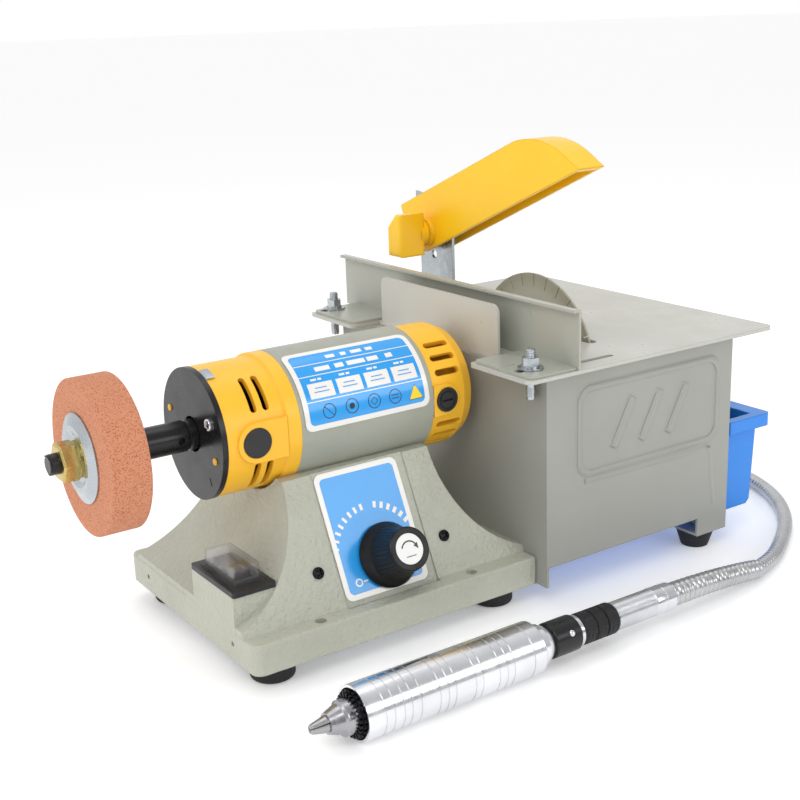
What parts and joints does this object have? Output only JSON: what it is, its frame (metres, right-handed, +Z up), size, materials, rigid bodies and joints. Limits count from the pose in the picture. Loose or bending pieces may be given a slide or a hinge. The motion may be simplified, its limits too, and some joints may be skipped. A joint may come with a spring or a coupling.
{
  "type": "bench lathe grinder and saw",
  "caption": "Bench machine with a horizontal motor on a cast pedestal, a grinding wheel, a boxed table saw with guard, fence and water tray, and a flexible shaft with a chuck handpiece.",
  "frame": {"origin": "on the bench, under the middle of the machine's outline without the flexible shaft", "axes": "+X along the spindle from the grinding wheel to the saw, +Y to the back, +Z up"},
  "size_m": [0.4567, 0.3869, 0.2336],
  "materials": {
    "casting_paint": "hammered beige grey enamel, semi-gloss",
    "cap_plastic": "satin yellow moulding",
    "sleeve_paint": "beige grey textured enamel",
    "box_paint": "warm grey enamel, satin",
    "table_paint": "warm grey enamel, satin",
    "black_paint": "black enamel, semi-gloss",
    "zinc": "zinc plated, satin",
    "yellow_zinc": "yellow zinc plated, satin",
    "steel": "ground steel",
    "blade_steel": "matt steel with an abrasive rim",
    "polished_aluminium": "turned and polished",
    "chrome": "bright chrome",
    "copper_winding": "enamelled copper wire",
    "laminations": "stacked laminations",
    "black_rubber": "matt",
    "black_plastic": "fine grained",
    "white_plastic": "smooth",
    "clear_boot": "clear soft plastic",
    "knob_plastic": "black, smooth",
    "rocker_dark": "glossy, nearly black",
    "guard_plastic": "glossy yellow",
    "knob_yellow": "glossy yellow",
    "tray_plastic": "glossy blue",
    "label_blue": "printed film, satin",
    "label_white": "printed film, satin",
    "abrasive": "fine salmon grit",
    "board": "green circuit board",
    "carbon": "carbon",
    "hose_metal": "ribbed bright metal",
    "yellow_print": "printed film"
  },
  "bodies": {
    "machine": {"base_casting": "casting_paint", "base_bottom_plate": "zinc", "base_feet": "black_rubber", "motor_sleeve": "sleeve_paint", "stator_core": "laminations", "stator_coils": "copper_winding", "left_end_cap": "cap_plastic", "left_cover_plate": "black_paint", "right_end_cap": "cap_plastic", "motor_tie_bolts": "zinc", "bearings": "steel", "brush_gear": "zinc", "carbon_brushes": "carbon", "brush_caps": "black_plastic", "vent_plugs": "black_plastic", "nameplate": "label_blue", "control_label": "label_blue", "potentiometer": "zinc", "speed_control_board": "board", "switch_body": "black_plastic", "switch_bezel": "black_plastic", "switch_boot": "clear_boot", "cable_gland": "black_plastic", "saw_box": "box_paint", "box_feet": "black_rubber", "foot_screws": "zinc", "saw_table": "table_paint", "fence_bolts": "zinc", "fence_nuts": "zinc", "guard_bracket": "zinc", "pan_screws": "zinc", "flex_sheath": "hose_metal", "sheath_coil": "hose_metal", "drive_coupling": "chrome", "spring_guard": "hose_metal", "shaft_ferrule": "chrome", "knurled_grip": "black_paint", "quick_release_collar": "black_paint", "detent_ball": "chrome", "handpiece_body": "polished_aluminium", "handpiece_bearings": "steel"},
    "spindle": {"motor_shaft": "steel", "armature_core": "laminations", "armature_windings": "copper_winding", "commutator": "copper_winding", "cooling_fan": "black_plastic", "arbor": "black_paint", "grinding_wheel": "abrasive", "clamping_flanges": "zinc", "spindle_nuts": "yellow_zinc", "saw_blade": "blade_steel"},
    "speed_knob": {"speed_knob": "knob_plastic"},
    "switch_rocker": {"rocker": "rocker_dark"},
    "guard": {"saw_guard": "guard_plastic"},
    "guard_knob": {"guard_knob": "knob_yellow"},
    "fence": {"fence": "table_paint"},
    "tray": {"water_tray": "tray_plastic"},
    "chuck": {"chuck_body": "chrome", "chuck_jaws": "steel"},
    "chuck_ring": {"chuck_ring": "black_paint"}
  },
  "joints": [
    {"name": "spindle_spin", "type": "hinge", "parent": "machine", "child": "spindle", "pos_m": [-0.1375, -0.0215, 0.1085], "axis": [1, 0, 0], "continuous": true},
    {"name": "speed_turn", "type": "hinge", "parent": "machine", "child": "speed_knob", "pos_m": [-0.0519, -0.07442, 0.0425], "axis": [0, -0.8959, 0.4443], "range_deg": [-270, 0]},
    {"name": "rocker_tilt", "type": "hinge", "parent": "machine", "child": "switch_rocker", "pos_m": [-0.12605, -0.05185, 0.0455], "axis": [1, 0, 0], "range_deg": [-10, 0]},
    {"name": "guard_swing", "type": "hinge", "parent": "machine", "child": "guard", "pos_m": [0.0882, 0.0695, 0.1725], "axis": [1, 0, 0], "range_deg": [0, 34]},
    {"name": "guard_knob_turn", "type": "hinge", "parent": "guard", "child": "guard_knob", "pos_m": [0.0882, 0.0695, 0.1725], "axis": [1, 0, 0], "range_deg": [-180, 180]},
    {"name": "fence_slide", "type": "slide", "parent": "machine", "child": "fence", "axis": [1, 0, 0], "range_m": [-0.0045, 0.0065]},
    {"name": "tray_slide", "type": "slide", "parent": "machine", "child": "tray", "axis": [1, 0, 0], "range_m": [0, 0.05]},
    {"name": "chuck_spin", "type": "hinge", "parent": "machine", "child": "chuck", "pos_m": [-0.121, -0.1495, 0.0129], "axis": [1, 0, 0], "continuous": true},
    {"name": "chuck_ring_turn", "type": "hinge", "parent": "chuck", "child": "chuck_ring", "pos_m": [-0.121, -0.1495, 0.0129], "axis": [1, 0, 0], "continuous": true}
  ]
}
